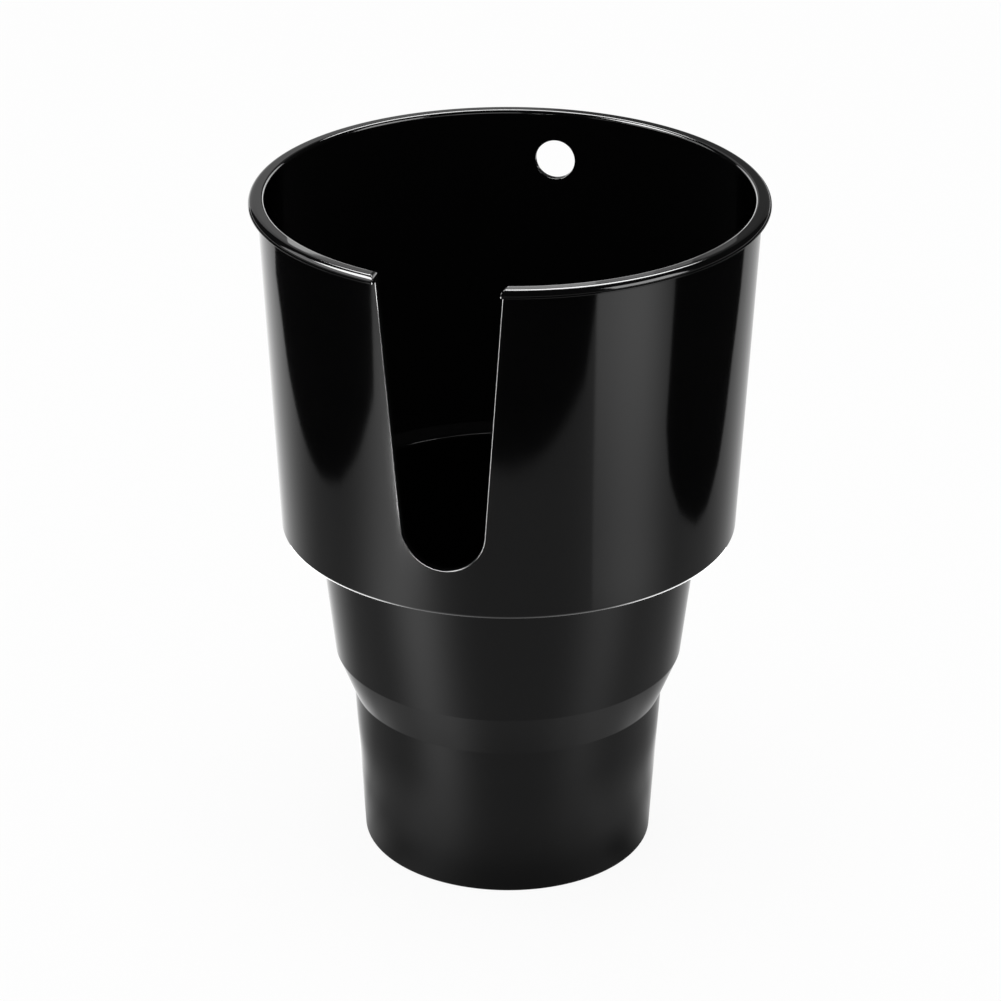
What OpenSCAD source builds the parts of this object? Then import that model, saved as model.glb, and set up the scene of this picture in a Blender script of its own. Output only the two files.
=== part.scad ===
// Cup holder adapter: one moulded cup that drops into a small car cup holder and takes a wide mug.
// The cup's axis is +Z, the origin is the centre of the flat underside and the handle slot faces -Y.

/* [Body] */
// Overall height, from the underside to the top of the rim
height = 150; // [135:1:165]
// Wall thickness, measured level
wall = 1.7; // [1.2:0.1:2.4]
// Thickness of the floor and of the ledge inside the shoulder
floor_thick = 2.1; // [1.6:0.1:3]
// Radius in the inside corners at the floor and at the ledge
inside_corner_r = 1.5; // [0.5:0.1:2.5]

/* [Mug cup] */
// Outside diameter of the mug cup, just under the rim
mouth_d = 105.6; // [102:0.2:110]
// Outside diameter of the mug cup at the shoulder
shoulder_d = 98; // [94:0.5:101]
// Height of the shoulder's underside
shoulder_z = 75.4; // [68:0.2:80]
// Radius on the shoulder's outer edge
shoulder_edge_r = 0.8; // [0.4:0.1:1.5]

/* [Rim] */
// How far the rim stands out past the wall
rim_out = 1.8; // [1.5:0.1:3]
// Height of the rim
rim_tall = 1.7; // [1.7:0.1:4]
// Radius on the rim's top edge outside
rim_round_r = 1.4; // [0.3:0.1:1.4]
// Radius on the rim's top edge inside
rim_edge_r = 0.5; // [0.2:0.1:0.7]
// Radius on the rim's lower edge
rim_low_edge_r = 0.2; // [0.1:0.1:0.2]

/* [Stem] */
// Outside diameter of the middle tier where it meets the shoulder
middle_top_d = 82.6; // [80:0.2:88]
// Outside diameter of the middle tier at its lower end
middle_low_d = 75.7; // [72:0.2:78]
// Height of the middle tier's lower end
middle_z = 45.4; // [41:0.2:52]
// Outside diameter of the plug where the sloping band ends
plug_top_d = 67.6; // [65:0.2:70]
// Height of the plug
plug_z = 35.4; // [28:0.2:38]
// Outside diameter of the plug at the underside
plug_low_d = 63.3; // [60:0.2:64.6]
// Radius on the stem's edges, at both ends of the band
stem_edge_r = 0.6; // [0.2:0.1:1.2]
// Radius on the plug's bottom edge
foot_edge_r = 0.8; // [0.4:0.1:1.5]

/* [Handle slot] */
// Width of the slot at the top of the rim
slot_top_w = 26.8; // [22:0.2:32]
// Radius of the slot's round bottom
slot_low_r = 9.1; // [7:0.1:10.5]
// Height of the slot's lowest point above the shoulder's underside
slot_rise = 9.9; // [6:0.1:30]
// Radius on the two corners where the slot meets the top of the rim
slot_corner_r = 1; // [0.4:0.1:1.8]

/* [Wall hole] */
// Diameter of the round hole in the wall behind the slot
hole_d = 8.8; // [5:0.2:10]
// Depth of the hole's centre below the top of the rim
hole_drop = 11; // [9:0.5:30]
// Turn of the hole about the axis, away from the point straight across from the slot
hole_turn = 4.5; // [-10:0.5:10]

/* [Hidden] */
// Steps round the whole body, round a hole and round one rounded corner
body_fn = 180;
hole_fn = 96;
corner_steps = 6;
// Length by which a cutter runs past the face that it opens
past = 1;
// Radii of the outside, worked out from the diameters
mouth_r = mouth_d / 2;
shoulder_r = shoulder_d / 2;
middle_top_r = middle_top_d / 2;
middle_low_r = middle_low_d / 2;
plug_top_r = plug_top_d / 2;
plug_low_r = plug_low_d / 2;
rim_r = mouth_r + rim_out;
// Heights worked out from the driving ones
rim_low_z = height - rim_tall;
ledge_z = shoulder_z + floor_thick;
slot_low_z = shoulder_z + slot_rise;
hole_z = height - hole_drop;

// Radius at height z of a straight taper from r0 at z0 to r1 at z1
function taper(z, r0, z0, r1, z1) = r0 + (r1 - r0) * (z - z0) / (z1 - z0);
function unit(v) = v / norm(v);
// Points of an arc of radius r that rounds the corner b between its neighbours a and c
function corner(a, b, c, r) =
    let(
        u = unit(a - b),
        v = unit(c - b),
        half = acos(u * v) / 2,
        centre = b + unit(u + v) * r / sin(half),
        from = b + u * r / tan(half) - centre,
        to = b + v * r / tan(half) - centre,
        start = atan2(from.y, from.x),
        sweep = atan2(from.x * to.y - from.y * to.x, from * to)
    )
    [for (i = [0:corner_steps]) let(t = start + sweep * i / corner_steps) centre + r * [cos(t), sin(t)]];
// Closed outline from a list of [point, corner radius], with radius 0 for a sharp corner
function rounded(list) =
    let(n = len(list))
    [
        for (i = [0:n - 1])
            each list[i][1] > 0
                ? corner(list[(i + n - 1) % n][0], list[i][0], list[(i + 1) % n][0], list[i][1])
                : [list[i][0]]
    ];

// Outside of the half section, from the underside up to the top of the rim
OUTSIDE = [
    [[0, 0], 0],
    [[plug_low_r, 0], foot_edge_r],
    [[plug_top_r, plug_z], stem_edge_r],
    [[middle_low_r, middle_z], stem_edge_r],
    [[middle_top_r, shoulder_z], stem_edge_r],
    [[shoulder_r, shoulder_z], shoulder_edge_r],
    [[mouth_r, rim_low_z], 0],
    [[rim_r, rim_low_z], rim_low_edge_r],
    [[rim_r, height], min(rim_round_r, rim_tall - rim_low_edge_r)]
];
// Inside of the half section, from the top of the rim down to the floor
INSIDE = [
    [[taper(height, shoulder_r, shoulder_z, mouth_r, rim_low_z) - wall, height], rim_edge_r],
    [[taper(ledge_z, shoulder_r, shoulder_z, mouth_r, rim_low_z) - wall, ledge_z], inside_corner_r],
    [[taper(ledge_z, middle_low_r, middle_z, middle_top_r, shoulder_z) - wall, ledge_z], stem_edge_r],
    [[middle_low_r - wall, middle_z], stem_edge_r],
    [[plug_top_r - wall, plug_z], stem_edge_r],
    [[taper(floor_thick, plug_low_r, 0, plug_top_r, plug_z) - wall, floor_thick], inside_corner_r],
    [[0, floor_thick], 0]
];

// The stepped cup with its rim, before the slot and the hole are cut
module shell() {
    rotate_extrude($fn = body_fn) polygon(rounded(concat(OUTSIDE, INSIDE)));
}

// Front view of the slot: a round bottom, two straight sides tangent to it and rounded top corners
module slot_outline() {
    low_c = [0, slot_low_z + slot_low_r];
    top = [slot_top_w / 2, height];
    // Direction from the bottom's centre to the point where the straight side leaves the arc
    lean = atan2(top.y - low_c.y, top.x) - acos(slot_low_r / norm(top - low_c));
    leave = low_c + slot_low_r * [cos(lean), sin(lean)];
    side = concat([leave], corner(leave, top, top + [slot_top_w, 0], slot_corner_r));
    right = concat(side, [[side[len(side) - 1].x, height + past]]);
    left = [for (i = [len(right) - 1:-1:0]) [-right[i].x, right[i].y]];
    translate(low_c) circle(slot_low_r, $fn = hole_fn);
    polygon(concat(right, left));
}

// Cutter for the handle slot, straight through the wall on the -Y side
module slot_cut() {
    rotate([90, 0, 0]) linear_extrude(rim_r + past) slot_outline();
}

// Cutter for the round hole through the wall on the +Y side
module hole_cut() {
    rotate([0, 0, hole_turn]) translate([0, 0, hole_z])
        rotate([-90, 0, 0]) cylinder(h = rim_r + past, d = hole_d, $fn = hole_fn);
}

module holder_body() {
    color([0.06, 0.06, 0.065]) difference() {
        shell();
        slot_cut();
        hole_cut();
    }
}

holder_body();
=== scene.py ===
# %% [markdown]
# # A cup holder adapter in glossy black plastic
# The object is one moulded piece. A wide cup for a mug sits on a stepped stem, and the stem's lower end,
# the plug, drops into a small round cup holder of a car. The cup has an outward rim, a U-shaped slot for
# the mug's handle and a round hole in the wall behind the slot.
# The script builds the piece, its plastic, a small photo studio and the camera. All lengths are metres.

# %% Load the fixed frame
import math

import bmesh
import bpy
from mathutils import Matrix, Vector


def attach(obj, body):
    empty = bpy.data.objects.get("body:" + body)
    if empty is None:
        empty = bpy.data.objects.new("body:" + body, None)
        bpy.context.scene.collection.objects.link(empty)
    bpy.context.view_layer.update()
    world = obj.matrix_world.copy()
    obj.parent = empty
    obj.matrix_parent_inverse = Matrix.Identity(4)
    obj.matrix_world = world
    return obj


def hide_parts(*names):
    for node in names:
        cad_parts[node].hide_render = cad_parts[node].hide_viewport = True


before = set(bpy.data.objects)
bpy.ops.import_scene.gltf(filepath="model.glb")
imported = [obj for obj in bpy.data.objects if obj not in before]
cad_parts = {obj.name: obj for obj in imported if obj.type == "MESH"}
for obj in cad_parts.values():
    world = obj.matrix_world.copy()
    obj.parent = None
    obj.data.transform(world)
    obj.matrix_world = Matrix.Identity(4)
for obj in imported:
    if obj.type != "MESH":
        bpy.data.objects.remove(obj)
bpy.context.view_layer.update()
MM = 0.001

# %% [markdown]
# ## The half section
# The real piece is turned: everything except the slot and the hole follows from one outline, swept round
# the axis. So the outline is written first, as corners of (radius, height) with the radius that rounds
# each of them. The wall keeps one thickness, and both tiers taper so that the piece leaves its mould.

# %% Sizes of the piece
HEIGHT = 150 * MM
WALL = 1.7 * MM
FLOOR = 2.1 * MM
INSIDE_CORNER, LEDGE_CORNER, LEDGE_EDGE = 1.5 * MM, 0.5 * MM, 1 * MM
MOUTH_R, SHOULDER_R, SHOULDER_Z, SHOULDER_EDGE = 52.8 * MM, 49 * MM, 74.9 * MM, 1.2 * MM
RIM_OUT, RIM_TALL = 1.8 * MM, 1.7 * MM
RIM_ROUND, RIM_INNER_EDGE, RIM_LOW_EDGE = 1.4 * MM, 0.8 * MM, 0.2 * MM
MIDDLE_TOP_R, MIDDLE_LOW_R, MIDDLE_Z = 41.3 * MM, 37.85 * MM, 45.4 * MM
PLUG_TOP_R, PLUG_Z, PLUG_LOW_R = 33.8 * MM, 35.4 * MM, 31.65 * MM
STEM_EDGE, FOOT_EDGE = 0.6 * MM, 0.8 * MM
RIM_LOW_Z = HEIGHT - RIM_TALL
RIM_R = MOUTH_R + RIM_OUT
LEDGE_Z = 77.5 * MM


# %% Radii of the tapered walls at any height
def taper(z, low_r, low_z, high_r, high_z):
    """Radius at height z of a straight wall between two known radii."""
    return low_r + (high_r - low_r) * (z - low_z) / (high_z - low_z)


def cup_r(z):
    """Outside radius of the mug cup's wall, without its rim."""
    return taper(z, SHOULDER_R, SHOULDER_Z, MOUTH_R, RIM_LOW_Z)


def middle_r(z):
    """Outside radius of the middle tier."""
    return taper(z, MIDDLE_LOW_R, MIDDLE_Z, MIDDLE_TOP_R, SHOULDER_Z)


def plug_r(z):
    """Outside radius of the plug."""
    return taper(z, PLUG_LOW_R, 0, PLUG_TOP_R, PLUG_Z)


print(f"inside radius at the mouth {(cup_r(HEIGHT) - WALL) / MM:.2f} mm")

# %% The outline's corners, up the outside and down the inside
OUTLINE = [
    ((0, 0), 0),
    ((PLUG_LOW_R, 0), FOOT_EDGE),
    ((PLUG_TOP_R, PLUG_Z), STEM_EDGE),
    ((MIDDLE_LOW_R, MIDDLE_Z), STEM_EDGE),
    ((MIDDLE_TOP_R, SHOULDER_Z), STEM_EDGE),
    ((SHOULDER_R, SHOULDER_Z), SHOULDER_EDGE),
    ((MOUTH_R, RIM_LOW_Z), 0),
    ((RIM_R, RIM_LOW_Z), RIM_LOW_EDGE),
    ((RIM_R, HEIGHT), RIM_ROUND),
    ((cup_r(HEIGHT) - WALL, HEIGHT), RIM_INNER_EDGE),
    ((cup_r(LEDGE_Z) - WALL, LEDGE_Z), LEDGE_CORNER),
    ((middle_r(LEDGE_Z) - WALL, LEDGE_Z), LEDGE_EDGE),
    ((MIDDLE_LOW_R - WALL, MIDDLE_Z), STEM_EDGE),
    ((PLUG_TOP_R - WALL, PLUG_Z), STEM_EDGE),
    ((plug_r(FLOOR) - WALL, FLOOR), INSIDE_CORNER),
    ((0, FLOOR), 0),
]


# %% Round the corners
def round_corner(before, corner, after, radius, steps):
    """Points of the arc that rounds a corner of a flat outline."""
    corner = Vector(corner)
    to_before = (Vector(before) - corner).normalized()
    to_after = (Vector(after) - corner).normalized()
    half = to_before.angle(to_after) / 2
    centre = corner + (to_before + to_after).normalized() * radius / math.sin(half)
    first = corner + to_before * radius / math.tan(half) - centre
    last = corner + to_after * radius / math.tan(half) - centre
    sweep = first.angle(last) * (1 if first.cross(last) > 0 else -1)
    return [centre + Matrix.Rotation(sweep * i / steps, 2) @ first for i in range(steps + 1)]


def rounded(corners, steps_per_mm=5):
    """The outline as points. A larger radius gets more steps."""
    points = []
    for i, (corner, radius) in enumerate(corners):
        if radius == 0:
            points.append(Vector(corner))
            continue
        steps = 4 + round(steps_per_mm * radius / MM)
        points += round_corner(corners[i - 1][0], corner, corners[i + 1][0], radius, steps)
    return points


SECTION = rounded(OUTLINE)
print("half section of", len(SECTION), "points")

# %% [markdown]
# ## Cutters for the slot and the hole
# A moulded piece has no knife edges: the slot's and the hole's edges are rounded by a few tenths of a
# millimetre, and these small roundings catch the light as the thin bright lines of the photograph. A bevel
# after the cut would have to run over hundreds of small faces. Instead each cutter is a plug with flared
# ends: it widens towards both faces of the wall until it touches them, and so it cuts a rounded edge.

# %% A mesh object in the scene
def add_object(name, points, edges, faces):
    """Make a mesh object from points, edges and faces and put it in the scene."""
    mesh = bpy.data.meshes.new(name)
    mesh.from_pydata(points, edges, faces)
    made = bpy.data.objects.new(name, mesh)
    bpy.context.scene.collection.objects.link(made)
    return made


# %% One cutter from an outline
SLOT_EDGE = 0.22 * MM
HOLE_EDGE = 0.22 * MM
FLARE_STEPS = 8
FLARE_END = math.radians(78)
OVERSHOOT = 0.06 * MM


def flare(radius):
    """Widening and depth below the wall's face, from the straight cut out past the face."""
    arc = []
    for i in range(FLARE_STEPS + 1):
        turn = FLARE_END * i / FLARE_STEPS
        arc.append((radius * (1 - math.cos(turn)), radius * (1 - math.sin(turn))))
    wide, deep = arc[-1]
    rise = (deep + OVERSHOOT) / math.cos(FLARE_END)
    arc.append((wide + rise * math.sin(FLARE_END), -OVERSHOOT))
    return arc


def cutter_mesh(name, path, outside_r, inside_r, reach_in, reach_out, closed):
    """Closed mesh that cuts the wall on the -Y side.
    path lists (point, direction into the material, edge radius) in the plane of X and Z."""
    rows = []
    for point, into, radius in path:
        profile = flare(radius)
        row = []
        for side_r, sign in ((inside_r, -1), (outside_r, 1)):
            edge = []
            for wide, deep in profile:
                at = point + into * wide
                face_y = -math.sqrt(side_r(at.y) ** 2 - at.x ** 2)
                edge.append(Vector((at.x, face_y + sign * deep, at.y)))
            end = edge[-1].copy()
            end.y = -reach_in if sign < 0 else -reach_out
            edge.append(end)
            row += edge[::-1] if sign < 0 else edge
        rows.append(row)
    count, width = len(rows), len(rows[0])
    points = [p for row in rows for p in row]
    faces = []
    for i in range(count if closed else count - 1):
        j = (i + 1) % count
        for k in range(width - 1):
            faces.append((i * width + k, i * width + k + 1, j * width + k + 1, j * width + k))
    if not closed:
        faces.append([(count - 1) * width + k for k in range(width)] + [k for k in range(width - 1, -1, -1)])
    faces.append([i * width for i in range(count)])
    faces.append([i * width + width - 1 for i in range(count - 1, -1, -1)])
    cutter = add_object(name, points, [], faces)
    turn_faces_outwards(cutter)
    print(name, len(cutter.data.polygons), "faces")
    return cutter


# %% Turn every face outwards
def turn_faces_outwards(thing):
    """Merge doubles and recalculate the normals of a closed mesh."""
    work = bmesh.new()
    work.from_mesh(thing.data)
    bmesh.ops.remove_doubles(work, verts=work.verts, dist=1e-8)
    bmesh.ops.recalc_face_normals(work, faces=work.faces)
    work.to_mesh(thing.data)
    work.free()


# %% The slot's outline
SLOT_TOP_W, SLOT_LOW_R, SLOT_RISE, SLOT_CORNER = 26.4 * MM, 8.9 * MM, 10.65 * MM, 1 * MM
SLOT_C = Vector((0, SHOULDER_Z + SLOT_RISE + SLOT_LOW_R))
SLOT_TOP = Vector((SLOT_TOP_W / 2, HEIGHT))
to_top = SLOT_TOP - SLOT_C
LEAN = math.atan2(to_top.y, to_top.x) - math.acos(SLOT_LOW_R / to_top.length)
LEAVE = SLOT_C + SLOT_LOW_R * Vector((math.cos(LEAN), math.sin(LEAN)))
print(f"slot sides lean {math.degrees(-LEAN):.2f} degrees")

# %% The wall's radii where the cutters meet it
RIM_STEP = 0.04 * MM


def cup_outside(z):
    """Outside radius of the cup with its rim, which the cutter meets a hair below the rim's lower face."""
    if z < RIM_LOW_Z - RIM_STEP:
        return cup_r(z)
    round_z = HEIGHT - RIM_ROUND
    if z < round_z:
        return RIM_R
    return RIM_R - RIM_ROUND + math.sqrt(max(RIM_ROUND ** 2 - (min(z, HEIGHT) - round_z) ** 2, 0))


def cup_inside(z):
    """Inside radius of the cup."""
    return cup_r(min(z, HEIGHT)) - WALL


# %% The slot's cutter
LOW_STEPS, SIDE_STEPS, TOP_STEPS = 24, 26, 12
SIDE_END = 148.1 * MM
RIM_STOPS = [148.2 * MM, 148.29 * MM, 148.5 * MM, 148.75 * MM]
EDGE_LEFT_AT_TOP = 0.1
REACH_OUT = 60 * MM


def slot_path():
    """Right half of the slot from its lowest point to above the rim, then its mirror image."""
    half = []
    for i in range(LOW_STEPS + 1):
        turn = -math.pi / 2 + (LEAN + math.pi / 2) * i / LOW_STEPS
        out = Vector((math.cos(turn), math.sin(turn)))
        half.append((SLOT_C + SLOT_LOW_R * out, out, SLOT_EDGE))
    out = Vector((math.cos(LEAN), math.sin(LEAN)))
    along = (SLOT_TOP - LEAVE).normalized()
    side_stops = [LEAVE.y + (SIDE_END - LEAVE.y) * i / SIDE_STEPS for i in range(1, SIDE_STEPS + 1)]
    for z in side_stops + RIM_STOPS:
        half.append((LEAVE + along * (z - LEAVE.y) / along.y, out, SLOT_EDGE))
    arc = round_corner(LEAVE, SLOT_TOP, SLOT_TOP + Vector((SLOT_TOP_W, 0)), SLOT_CORNER, TOP_STEPS)
    centre = arc[0] + out * SLOT_CORNER
    for i, point in enumerate(arc[:-1]):
        edge = SLOT_EDGE * (1 - (1 - EDGE_LEFT_AT_TOP) * i / (TOP_STEPS - 1))
        half.append((point, (centre - point).normalized(), edge))
    tip = arc[-2]
    for lift in (0.5 * MM, 2 * MM):
        half.append((Vector((tip.x, HEIGHT + lift)), Vector((1, 0)), SLOT_EDGE * EDGE_LEFT_AT_TOP))
    mirror = [(Vector((-p.x, p.y)), Vector((-d.x, d.y)), r) for p, d, r in half[:0:-1]]
    return mirror + half


slot_cutter = cutter_mesh("slot_cutter", slot_path(), cup_outside, cup_inside, 30 * MM, REACH_OUT, False)

# %% The hole's cutter
HOLE_R, HOLE_Z, HOLE_TURN = 4.4 * MM, HEIGHT - 11 * MM, math.radians(4.5)
HOLE_STEPS = 72
hole_path = []
for i in range(HOLE_STEPS):
    out = Vector((math.cos(math.tau * i / HOLE_STEPS), math.sin(math.tau * i / HOLE_STEPS)))
    hole_path.append((Vector((0, HOLE_Z)) + HOLE_R * out, out, HOLE_EDGE))
hole_cutter = cutter_mesh("hole_cutter", hole_path, cup_r, cup_inside, 40 * MM, REACH_OUT, True)
hole_cutter.data.transform(Matrix.Rotation(math.pi + HOLE_TURN, 4, "Z"))

# %% [markdown]
# ## Nodes written as expressions
# Both the lathe and the plastic are node trees. A small class wraps a socket, so that sums and products of
# sockets read as Python. One function adds any other node with its settings and the values of its sockets.


# %% Wires and nodes
class Wire:
    """An output socket of a node tree. Arithmetic on wires adds Math nodes."""

    def __init__(self, tree, socket):
        self.tree = tree
        self.socket = socket

    def math(self, operation, *values):
        made = add_node(self.tree, "ShaderNodeMath", {"operation": operation}, dict(enumerate(values)))
        return made["Value"]

    def __add__(self, other):
        return self.math("ADD", self, other)

    def __radd__(self, other):
        return self.math("ADD", other, self)

    def __sub__(self, other):
        return self.math("SUBTRACT", self, other)

    def __rsub__(self, other):
        return self.math("SUBTRACT", other, self)

    def __mul__(self, other):
        return self.math("MULTIPLY", self, other)

    def __rmul__(self, other):
        return self.math("MULTIPLY", other, self)

    def __truediv__(self, other):
        return self.math("DIVIDE", self, other)

    def __mod__(self, other):
        return self.math("MODULO", self, other)


class Made(dict):
    """The output wires of a node by name, and the node itself."""

    def __init__(self, tree, node):
        super().__init__((s.name, Wire(tree, s)) for s in reversed(node.outputs) if s.enabled)
        self.node = node


def add_node(tree, kind, settings=None, sockets=None):
    """Add a node, apply its settings, then set or link its input sockets by name or number."""
    node = tree.nodes.new(kind)
    for name, value in (settings or {}).items():
        if name == "stops":
            for element, (place, colour) in zip(ramp_elements(node, len(value)), value):
                element.position, element.color = place, colour
        else:
            setattr(node, name, value)
    for key, value in (sockets or {}).items():
        if isinstance(key, int):
            socket = node.inputs[key]
        else:
            socket = next(s for s in node.inputs if s.name == key and s.enabled)
        for one in value if isinstance(value, list) else [value]:
            if isinstance(one, Wire):
                tree.links.new(one.socket, socket)
            else:
                socket.default_value = one
    return Made(tree, node)


def ramp_elements(node, count):
    """The stops of a colour ramp, brought to the wanted number."""
    elements = node.color_ramp.elements
    while len(elements) < count:
        elements.new(1.0)
    return list(elements)


# %% [markdown]
# ## The plastic
# Glossy black moulded plastic is nearly black below its surface, and all that shows is what its skin mirrors.
# A polished mould gives a low roughness. It still varies a little where the melt cooled unevenly, and the
# skin waves very slightly. Both come from noise on Object coordinates, so that they stick to the piece.


# %% An empty material
def empty_material(name):
    """A new material and its node tree, with no nodes."""
    material = bpy.data.materials.new(name)
    material.use_nodes = True
    material.node_tree.nodes.clear()
    return material, material.node_tree


# %% The material
def noise(tree, place, scale, detail):
    """Noise from 0 to 1 with blotches of about 1/scale metres."""
    return add_node(tree, "ShaderNodeTexNoise", {}, {
        "Vector": place, "Scale": scale, "Detail": detail})["Fac"]


def black_plastic():
    material, tree = empty_material("black_plastic")
    place = add_node(tree, "ShaderNodeTexCoord")["Object"]
    cloud = noise(tree, place, 60.0, 3.0)
    grain = noise(tree, place, 2600.0, 2.0)
    ripple = noise(tree, place, 160.0, 1.0)
    colour = add_node(tree, "ShaderNodeMix", {"data_type": "RGBA"}, {
        "Factor": cloud, "A": (0.0016, 0.0016, 0.0018, 1), "B": (0.0026, 0.0026, 0.0028, 1)})["Result"]
    skin = ripple * 0.7 + grain * 0.3
    bump = add_node(tree, "ShaderNodeBump", {}, {"Strength": 0.25, "Distance": 0.02 * MM, "Height": skin})
    surface = add_node(tree, "ShaderNodeBsdfPrincipled", {}, {
        "Base Color": colour, "Roughness": 0.05 + cloud * 0.04 + grain * 0.02, "Normal": bump["Normal"],
        "IOR": 1.5})["BSDF"]
    add_node(tree, "ShaderNodeOutputMaterial", {}, {"Surface": surface})
    return material


plastic = black_plastic()
print("material", plastic.name, len(plastic.node_tree.nodes), "nodes")

# %% [markdown]
# ## The lathe
# A Geometry Nodes tree sweeps the half section round the axis, which is what the mould does. A grid gives
# one column for each step round the axis and one row for each point of the section. Each grid point reads
# its row's point from the section, turns by its column's angle, and the seam and the poles are merged.
# Then the two cutters are taken away. The tree keeps the number of columns and the cutters as inputs.


# %% The lathe's tree
def lathe_tree():
    tree = bpy.data.node_groups.new("turn_and_cut", "GeometryNodeTree")
    face = tree.interface
    face.new_socket("Geometry", in_out="INPUT", socket_type="NodeSocketGeometry")
    face.new_socket("Columns", in_out="INPUT", socket_type="NodeSocketInt")
    face.new_socket("Slot Cutter", in_out="INPUT", socket_type="NodeSocketObject")
    face.new_socket("Hole Cutter", in_out="INPUT", socket_type="NodeSocketObject")
    face.new_socket("Plastic", in_out="INPUT", socket_type="NodeSocketMaterial")
    face.new_socket("Geometry", in_out="OUTPUT", socket_type="NodeSocketGeometry")
    given = add_node(tree, "NodeGroupInput")
    section = given["Geometry"]
    size = add_node(tree, "GeometryNodeAttributeDomainSize", {"component": "MESH"}, {"Geometry": section})
    rows = size["Point Count"]
    grid = add_node(tree, "GeometryNodeMeshGrid", {}, {
        "Size X": 1.0, "Size Y": 1.0, "Vertices X": given["Columns"] + 1, "Vertices Y": rows})["Mesh"]
    number = add_node(tree, "GeometryNodeInputIndex")["Index"]
    row = number % rows
    column = (number - row) / rows
    along = add_node(tree, "GeometryNodeInputPosition")["Position"]
    point = add_node(tree, "GeometryNodeSampleIndex", {"data_type": "FLOAT_VECTOR"}, {
        "Geometry": section, "Value": along, "Index": row})["Value"]
    angle = column * math.tau / given["Columns"]
    turned = add_node(tree, "ShaderNodeVectorRotate", {"rotation_type": "Z_AXIS"}, {
        "Vector": point, "Angle": angle})["Vector"]
    swept = add_node(tree, "GeometryNodeSetPosition", {}, {"Geometry": grid, "Position": turned})["Geometry"]
    closed = add_node(tree, "GeometryNodeMergeByDistance", {}, {
        "Geometry": swept, "Distance": 0.001 * MM})["Geometry"]
    slot = add_node(tree, "GeometryNodeObjectInfo", {}, {"Object": given["Slot Cutter"]})["Geometry"]
    hole = add_node(tree, "GeometryNodeObjectInfo", {}, {"Object": given["Hole Cutter"]})["Geometry"]
    cut = add_node(tree, "GeometryNodeMeshBoolean", {"operation": "DIFFERENCE", "solver": "EXACT"}, {
        "Mesh 1": closed, "Mesh 2": [slot, hole]})["Mesh"]
    smooth = add_node(tree, "GeometryNodeSetShadeSmooth", {}, {"Geometry": cut})["Geometry"]
    real = add_node(tree, "GeometryNodeRealizeInstances", {}, {"Geometry": smooth})["Geometry"]
    painted = add_node(tree, "GeometryNodeSetMaterial", {}, {"Geometry": real, "Material": given["Plastic"]})
    add_node(tree, "NodeGroupOutput", {}, {"Geometry": painted["Geometry"]})
    return tree


# %% Turn the section and cut it
COLUMNS = 480
section_points = [(p.x, 0, p.y) for p in SECTION]
section = add_object("half_section", section_points, [(i, i + 1) for i in range(len(SECTION) - 1)], [])
lathe = section.modifiers.new("lathe", "NODES")
lathe.node_group = lathe_tree()
sockets = {s.name: s.identifier for s in lathe.node_group.interface.items_tree if s.in_out == "INPUT"}
lathe[sockets["Columns"]] = COLUMNS
lathe[sockets["Slot Cutter"]] = slot_cutter
lathe[sockets["Hole Cutter"]] = hole_cutter
lathe[sockets["Plastic"]] = plastic

# %% Keep the result as a plain mesh
graph = bpy.context.evaluated_depsgraph_get()
body_mesh = bpy.data.meshes.new_from_object(section.evaluated_get(graph), depsgraph=graph)
body_mesh.name = "adapter_body"
body = bpy.data.objects.new("adapter_body", body_mesh)
bpy.context.scene.collection.objects.link(body)
for used in (section, slot_cutter, hole_cutter):
    bpy.data.objects.remove(used)
turn_faces_outwards(body)


def report(thing):
    """Print the size of a mesh, its open edges and the volume that it encloses."""
    work = bmesh.new()
    work.from_mesh(thing.data)
    rough = sum(1 for e in work.edges if len(e.link_faces) != 2)
    volume = work.calc_volume(signed=True)
    triangles = sum(len(f.verts) - 2 for f in work.faces)
    work.free()
    print(thing.name, triangles, "triangles,", rough, f"open edges, {volume / MM ** 3:.0f} mm3")


report(body)

# %% [markdown]
# ## Clean shading
# A mirror-like skin shows every error of the shading. Weighted normals follow the large faces, so the
# tapered walls stay straight and only the small roundings bend the light.

# %% Weighted normals
body.data.set_sharp_from_angle(angle=math.radians(35))
weighted = body.modifiers.new("weighted normals", "WEIGHTED_NORMAL")
weighted.keep_sharp = True
weighted.weight = 50

# %% Stand the piece in for the frame's node
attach(body, "root")
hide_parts("holder_body")

# %% [markdown]
# ## The studio
# Black gloss is lit by what it mirrors. The wall of the cup leans over the floor, so it mirrors the floor,
# and a photographer lays white, grey and black cards there. They are out of the picture themselves.
# Here each card shows to mirrored rays alone. The floor and the backdrop are white to the camera.

# %% Directions as the camera sees them
VIEW_TURN = math.radians(15.85)


def seen(x, y, z=0.0):
    """A point given in mm right of, behind and above the origin, as the camera looks at it."""
    return Matrix.Rotation(VIEW_TURN, 3, "Z") @ Vector((x, y, z)) * MM


# %% Floor and backdrop
def glow(name, strength):
    """An even white light of a given strength for cards."""
    material, tree = empty_material(name)
    light = add_node(tree, "ShaderNodeEmission", {}, {"Strength": strength})["Emission"]
    add_node(tree, "ShaderNodeOutputMaterial", {}, {"Surface": light})
    return material


def direct_ray(tree):
    """1 for rays that the camera sends out, straight, mirrored or through glass, and 0 for diffuse ones."""
    path = add_node(tree, "ShaderNodeLightPath")
    direct = path["Is Camera Ray"].math("MAXIMUM", path["Is Camera Ray"], path["Is Glossy Ray"])
    return direct.math("MAXIMUM", direct, path["Is Transmission Ray"])


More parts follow.
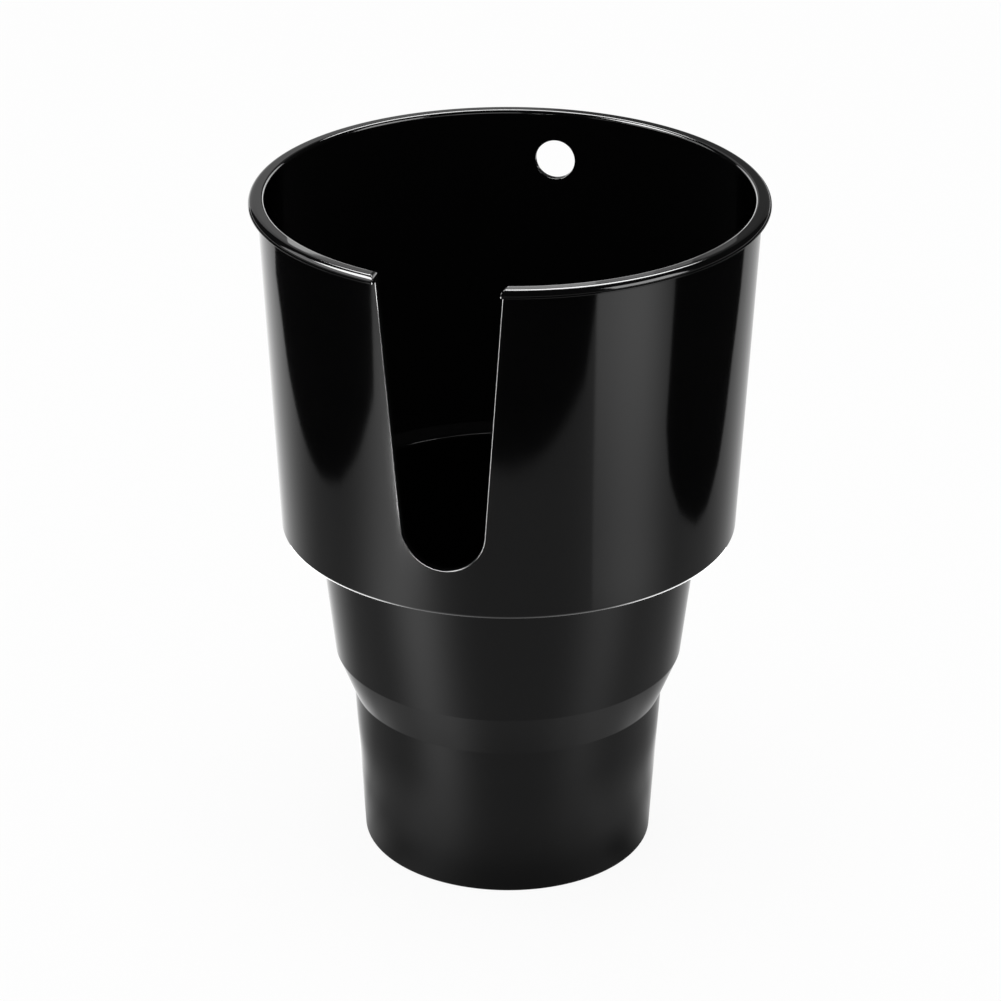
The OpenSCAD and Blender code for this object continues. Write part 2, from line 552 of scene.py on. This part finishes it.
def floor_material():
    """White to the camera with the piece's shadow, plain grey to diffuse rays, and clear from below."""
    material, tree = empty_material("studio_floor")
    direct = direct_ray(tree)
    white = add_node(tree, "ShaderNodeEmission", {}, {"Strength": 0.93})["Emission"]
    paint = add_node(tree, "ShaderNodeBsdfDiffuse", {}, {"Color": (0.1, 0.1, 0.1, 1)})["BSDF"]
    both = add_node(tree, "ShaderNodeAddShader", {}, {0: white, 1: paint})["Shader"]
    plain = add_node(tree, "ShaderNodeBsdfDiffuse", {}, {"Color": (0.8, 0.8, 0.8, 1)})["BSDF"]
    mixed = add_node(tree, "ShaderNodeMixShader", {}, {0: direct, 1: plain, 2: both})["Shader"]
    below = add_node(tree, "ShaderNodeNewGeometry")["Backfacing"]
    clear = add_node(tree, "ShaderNodeBsdfTransparent")["BSDF"]
    one_sided = add_node(tree, "ShaderNodeMixShader", {}, {0: below, 1: mixed, 2: clear})["Shader"]
    add_node(tree, "ShaderNodeOutputMaterial", {}, {"Surface": one_sided})
    return material


def stage_object(name, points, faces, material):
    """A thing of the studio, which is no part of the object, from points that seen() gives."""
    thing = add_object(name, points, [], faces)
    thing.data.materials.append(material)
    return thing


def square(half):
    """Corners of a square round the origin."""
    return [(-half, -half), (half, -half), (half, half), (-half, half)]


def level_points(corners, height):
    """Points and one face of a level card at a height in mm."""
    return [seen(x, y, height) for x, y in corners], [list(range(len(corners)))]


FLOOR_Z = -0.02
stage_object("floor", *level_points(square(9000), FLOOR_Z), floor_material())


# %% Cards that only mirrored rays meet
def mirror_card(name, points, faces, material):
    """A thing of the studio that shows to mirrored rays alone and throws no shadow."""
    card = stage_object(name, points, faces, material)
    card.visible_camera = card.visible_diffuse = card.visible_shadow = False
    card.visible_transmission = card.visible_volume_scatter = False
    return card


def flat_card(name, corners, material, height):
    """A card that lies level above the floor, given by its corners in mm as the camera looks at the floor."""
    return mirror_card(name, *level_points(corners, height), material)


def polar(radius, azimuth):
    """Floor point at a radius in mm and an azimuth in degrees, 0 in front and positive on the right."""
    turn = math.radians(azimuth)
    return (radius * math.sin(turn), -radius * math.cos(turn))


def ring_part(inner_r, outer_r, azimuths):
    """Corners of a part of a flat ring between two radii, with a corner at each azimuth."""
    return [polar(inner_r, a) for a in azimuths] + [polar(outer_r, a) for a in reversed(azimuths)]


# %% [markdown]
# The table card is grey with two pools of light, in front on the left and on the right, and it grows paler
# behind the piece. In front it is darker close to the foot, where the piece stands in its own shade. A ring
# round the foot is a little brighter, because the sloping band of the stem looks down on just that ring.


# %% Azimuth and radius as wires
def ramp(value, low, high, start, end):
    """A smooth step from start to end, while a wire grows from low to high."""
    return add_node(value.tree, "ShaderNodeMapRange", {"interpolation_type": "SMOOTHSTEP"}, {
        "Value": value, "From Min": low, "From Max": high, "To Min": start, "To Max": end})["Result"]


def around(tree):
    """Azimuth in degrees and radius in mm round the piece, as the camera sees them."""
    place = add_node(tree, "ShaderNodeTexCoord")["Object"]
    turned = add_node(tree, "ShaderNodeVectorRotate", {"rotation_type": "Z_AXIS"}, {
        "Vector": place, "Angle": -VIEW_TURN})["Vector"]
    split = add_node(tree, "ShaderNodeSeparateXYZ", {}, {"Vector": turned})
    x, y = split["X"], split["Y"]
    return x.math("ARCTAN2", x, 0 - y) * (180 / math.pi), x.math("SQRT", x * x + y * y) * (1 / MM)


def pattern_light(name, pattern):
    """A white light whose strength follows a pattern of azimuth and radius."""
    material, tree = empty_material(name)
    light = add_node(tree, "ShaderNodeEmission", {}, {"Strength": pattern(*around(tree))})["Emission"]
    add_node(tree, "ShaderNodeOutputMaterial", {}, {"Surface": light})
    return material


# %% The table card
def pool(azimuth, centre, width):
    """A bell curve over the azimuth."""
    far = (azimuth - centre) * (1 / width)
    return far.math("POWER", math.e, 0 - far * far)


def table_pattern(azimuth, radius):
    """Light of the table card: a base, two pools, paler behind, a wedge, a ring and the sides of the foot.
    Azimuths are in degrees and radii in millimetres."""
    turn = azimuth.math("ABSOLUTE", azimuth)
    base = ramp(turn, 20.0, 95.0, 0.27, 0.24)
    left = pool(azimuth, ramp(radius, 40.0, 130.0, -36.0, -50.0), 17.0)
    left = left * ramp(radius, 25.0, 150.0, 0.3, 0.95)
    right = pool(azimuth, ramp(radius, 40.0, 130.0, 40.0, 54.0), 16.0)
    right = right * ramp(radius, 25.0, 150.0, 0.08, 0.40)
    behind = ramp(azimuth, 100.0, 162.0, 0.0, 0.55) + ramp(azimuth, 162.0, 180.0, 0.0, 0.25)
    behind = behind + ramp(azimuth, -165.0, -95.0, 1.05, 0.0) + ramp(azimuth, -180.0, -165.0, -0.25, 0.0)
    wedge = ramp(azimuth, 36.7, 37.9, 0.0, 1.0) * ramp(azimuth, 58.0, 84.0, 1.0, 0.0)
    wedge = wedge * (ramp(radius, 140.0, 185.0, 0.0, 0.28) + ramp(radius, 190.0, 330.0, 0.0, 0.42))
    ring = ramp(radius, 36.0, 47.0, 0.0, 1.0) * ramp(radius, 50.0, 70.0, 1.0, 0.0)
    band = 1 + ring * (0.2 + ramp(turn, 38.0, 60.0, 0.0, 0.5))
    sides = ramp(turn, 76.0, 98.0, 0.0, 0.9) + ramp(turn, 98.0, 112.0, 0.0, 0.7)
    sides = ramp(radius, 46.0, 62.0, 1.0, 0.0) * sides
    foot = ramp(azimuth, -80.0, -52.0, 1.5, 0.0) + ramp(turn, 80.0, 105.0, 0.0, 1.5)
    foot = foot + ramp(azimuth, 46.0, 58.0, 0.0, -0.3) + ramp(azimuth, 60.0, 84.0, 0.0, 1.3)
    sides = (sides + ramp(radius, 34.0, 46.0, 1.0, 0.0) * foot) * ramp(turn, 125.0, 160.0, 1.0, 0.0)
    return (base + left + right + behind) * (band + sides) * ramp(radius, 28.0, 75.0, 0.5, 1.0) + wedge


TABLE_LIGHT = pattern_light("table_light", table_pattern)
TABLE_HEIGHT, FAR_HEIGHT, BLACK_HEIGHT, STRIP_HEIGHT = 0.2, 0.4, 0.6, 0.9
flat_card("table_card", square(900), TABLE_LIGHT, TABLE_HEIGHT)

# %% Black cards on the table
BLACK = glow("black_card", 0.01)
LEFT_EDGE = [(-260, 215), (-250, 180), (-233, 140), (-222, 80), (-215, 20), (-215, -30), (-222, -80),
             (-235, -130)]
RIGHT_EDGE = [(345, -85), (240, -70), (215, -50), (200, -20), (190, 20), (190, 50), (200, 90), (215, 120),
              (235, 150), (260, 200), (285, 230), (300, 250)]
FRONT_EDGE = [polar(1500, -27), polar(262, -26), (-60, -235), (150, -235), (200, -262), polar(1500, 37)]
flat_card("black_left", LEFT_EDGE + [(-420, -230), (-560, 300)], BLACK, BLACK_HEIGHT)
flat_card("black_right", RIGHT_EDGE + [(600, 300), (600, -90)], BLACK, BLACK_HEIGHT)
flat_card("black_front", FRONT_EDGE, BLACK, BLACK_HEIGHT)

# %% A bright strip that only the slot's edges see
STRIP = glow("strip_light", 50.0)
SLOT_STRIP = [polar(208, -49), polar(250, -52), polar(480, -52), polar(480, -36), polar(208, -36)]
flat_card("slot_strip", SLOT_STRIP, STRIP, STRIP_HEIGHT)


# %% [markdown]
# Above the table stands a black tent with three softboxes: one on the left, a weaker one on the right and
# one above and behind. Low behind the piece the tent is open, and there the rim mirrors a grey backdrop.


# %% Panels on a dome
BOX_DISTANCE, BACKDROP_DISTANCE, TENT_DISTANCE = 1400, 1900, 2000
DOME_CENTRE_Z, DOME_STEP = 120, 5


def dome_panel(name, azimuths, elevations, material, distance=BOX_DISTANCE):
    """A curved panel between two azimuths and two elevations in degrees, seen from near the piece's rim."""
    steps_a = max(2, round(abs(azimuths[1] - azimuths[0]) / DOME_STEP))
    steps_e = max(2, round(abs(elevations[1] - elevations[0]) / DOME_STEP))
    points, faces = [], []
    for i in range(steps_a + 1):
        azimuth = math.radians(azimuths[0] + (azimuths[1] - azimuths[0]) * i / steps_a)
        for j in range(steps_e + 1):
            rise = math.radians(elevations[0] + (elevations[1] - elevations[0]) * j / steps_e)
            level = distance * math.cos(rise)
            z = DOME_CENTRE_Z + distance * math.sin(rise)
            points.append(seen(level * math.sin(azimuth), -level * math.cos(azimuth), z))
    for i in range(steps_a):
        for j in range(steps_e):
            first = i * (steps_e + 1) + j
            faces.append((first, first + 1, first + steps_e + 2, first + steps_e + 1))
    return mirror_card(name, points, faces, material)


TENT = glow("tent_cloth", 0.03)
dome_panel("tent_front", (-148, 146), (0, 88), TENT, TENT_DISTANCE)
dome_panel("tent_back", (146, 212), (42, 88), TENT, TENT_DISTANCE)
dome_panel("backdrop_right", (146, 179), (3, 42), glow("backdrop_right", 0.14), BACKDROP_DISTANCE)
dome_panel("backdrop_left", (179, 212), (3, 42), glow("backdrop_left", 0.5), BACKDROP_DISTANCE)
flat_card("far_floor", ring_part(480, 2100, range(-150, 166, 15)), TENT, FAR_HEIGHT)
dome_panel("box_left", (-103, -60), (34.5, 57), glow("box_left", 23.0))
dome_panel("box_left_skirt", (-112, -60), (8, 34.5), glow("box_left_skirt", 2.5))
dome_panel("box_right", (44, 80), (10, 40), glow("box_right", 6.0))
dome_panel("box_back", (142, 211), (46, 72), glow("box_back", 17.0))

# %% [markdown]
# Small reflectors stand close to the piece. Cards over the mouth light the front of the rim's top, two more
# light its left and right, and one in front on the left lights the slot's lower edge. A black sheet of
# painted
# shade lines the cup: it stands for the shade inside, shades the inner wall and is all that the inside
# mirrors. A ring just below the shoulder draws the thin bright line on the shoulder's rounded edge.


# %% Upright cards
def upright_card(name, start, end, heights, strength):
    """A card that stands on a line between two points, seen from above, between two heights in mm."""
    low, high = heights
    corners = [seen(*start, low), seen(*end, low), seen(*end, high), seen(*start, high)]
    return mirror_card(name, corners, [(0, 1, 2, 3)], glow(name, strength))


# Each rim card: its left and right end, the heights of its split and its top, and the light below and above
RIM_CARD_Y, RIM_CARD_LOW_Z = -10, 150.6
RIM_CARDS = [(-46, -28, 160, 168, 2.0, 0.6), (-3, 18, 164, 174, 2.6, 1.4), (18, 30, 162, 171, 2.0, 0.8),
             (30, 38, 158.5, 167, 2.0, 0.6), (38, 47, 154.5, 161, 2.0, 0.4)]
for number, (x0, x1, split, top, low, high) in enumerate(RIM_CARDS):
    start, end = (x0, RIM_CARD_Y), (x1, RIM_CARD_Y)
    upright_card(f"rim_card_low_{number}", start, end, (RIM_CARD_LOW_Z, split), low)
    upright_card(f"rim_card_high_{number}", start, end, (split, top), high)
upright_card("front_card", (-106, -123), (-31, -165), (91, 148), 40.0)
for side in (-1, 1):
    upright_card(f"edge_card_{side}", (46 * side, -8), (46 * side, 20), (RIM_CARD_LOW_Z, 163), 3.2)


# %% A black sheet of painted shade in the cup
SHADE_LINER_R, SHADE_LINER_LOW_Z, SHADE_LINER_HIGH_Z, SHADE_LINER_STEPS = 46.5, 77.8, 147.5, 96
shade_liner_points, shade_liner_faces = [], []
for i in range(SHADE_LINER_STEPS):
    place = polar(SHADE_LINER_R, 360 * i / SHADE_LINER_STEPS)
    shade_liner_points += [seen(*place, SHADE_LINER_LOW_Z), seen(*place, SHADE_LINER_HIGH_Z)]
    here, after = 2 * i, 2 * ((i + 1) % SHADE_LINER_STEPS)
    shade_liner_faces.append((here, here + 1, after + 1, after))
# Painted shade: the sheet glows almost black and shades the inner wall, so the inside of the cup mirrors and
# shows shade.
liner = mirror_card("liner", shade_liner_points, shade_liner_faces, glow("liner", 0.008))
liner.visible_shadow = True


# %% A ring below the shoulder
def ring_pattern(azimuth, radius):
    """Light of the ring, weak in front and stronger to both sides."""
    side = azimuth.math("ABSOLUTE", azimuth)
    return 0.6 + ramp(side, 0.0, 26.0, 0.0, 0.5) + ramp(side, 24.0, 40.0, 0.0, 3.4)


RING_LIGHT = pattern_light("shoulder_ring", ring_pattern)
RING_HEIGHT = 71.5
flat_card("shoulder_ring", ring_part(46, 50.4, range(-80, 81, 4)), RING_LIGHT, RING_HEIGHT)

# %% [markdown]
# The world is a soft even light, and white to the camera. One lamp overhead, which nothing mirrors, gives the
# soft shadow round the foot.

# %% World
world = bpy.data.worlds.new("studio")
bpy.context.scene.world = world
world.use_nodes = True
world.node_tree.nodes.clear()
sky = add_node(world.node_tree, "ShaderNodeBackground", {}, {
    "Color": (1, 1, 1, 1), "Strength": 0.4 + direct_ray(world.node_tree) * 0.6})
add_node(world.node_tree, "ShaderNodeOutputWorld", {}, {"Surface": sky["Background"]})


# %% The lamp
def softbox(name, place, target, width, depth, radiance):
    """A flat lamp that shines from a place to a target, its power from its size and a given radiance."""
    data = bpy.data.lights.new(name, "AREA")
    data.shape = "RECTANGLE"
    data.size, data.size_y = width * MM, depth * MM
    data.energy = radiance * math.pi * data.size * data.size_y * math.pi / 4
    lamp = bpy.data.objects.new(name, data)
    bpy.context.scene.collection.objects.link(lamp)
    lamp.location = seen(*place)
    lamp.rotation_euler = (seen(*target) - lamp.location).to_track_quat("-Z", "Y").to_euler()
    print(name, f"{data.energy:.1f} W")
    return lamp


overhead = softbox("overhead", (0, 0, 1500), (0, 0, 0), 700, 700, 4.0)
overhead.visible_glossy = False

# %% [markdown]
# ## The camera
# The photograph looks about 25 degrees down on the piece from some 0.9 m away. The place and the focal
# length were fitted to the outline and the edges. The slot lies 16 degrees to the left of the middle.

# %% Camera
FOCAL_PIXELS, PICTURE_PIXELS, SENSOR_MM = 3933.9, 1001, 36.0
camera_data = bpy.data.cameras.new("camera")
camera_data.sensor_width = SENSOR_MM
camera_data.lens = FOCAL_PIXELS * SENSOR_MM / PICTURE_PIXELS
camera_data.clip_start, camera_data.clip_end = 0.05, 50.0
camera = bpy.data.objects.new("camera", camera_data)
bpy.context.scene.collection.objects.link(camera)
PITCH, YAW, ROLL = math.radians(25.194), math.radians(-0.131), math.radians(0.170)
eye = Vector((0, -769.45, 441.06))
ahead = Vector((math.sin(YAW) * math.cos(PITCH), math.cos(YAW) * math.cos(PITCH), -math.sin(PITCH)))
level = ahead.cross(Vector((0, 0, 1))).normalized()
up = level.cross(ahead)
right = math.cos(ROLL) * level + math.sin(ROLL) * up
up = right.cross(ahead)
spin = Matrix.Rotation(VIEW_TURN, 4, "Z")
turn = Matrix((right, up, -ahead)).transposed().to_4x4()
camera.matrix_world = spin @ Matrix.Translation(eye * MM) @ turn
bpy.context.scene.camera = camera
bpy.context.scene.view_settings.view_transform = "Standard"
print("camera at", [round(v, 4) for v in camera.matrix_world.translation])
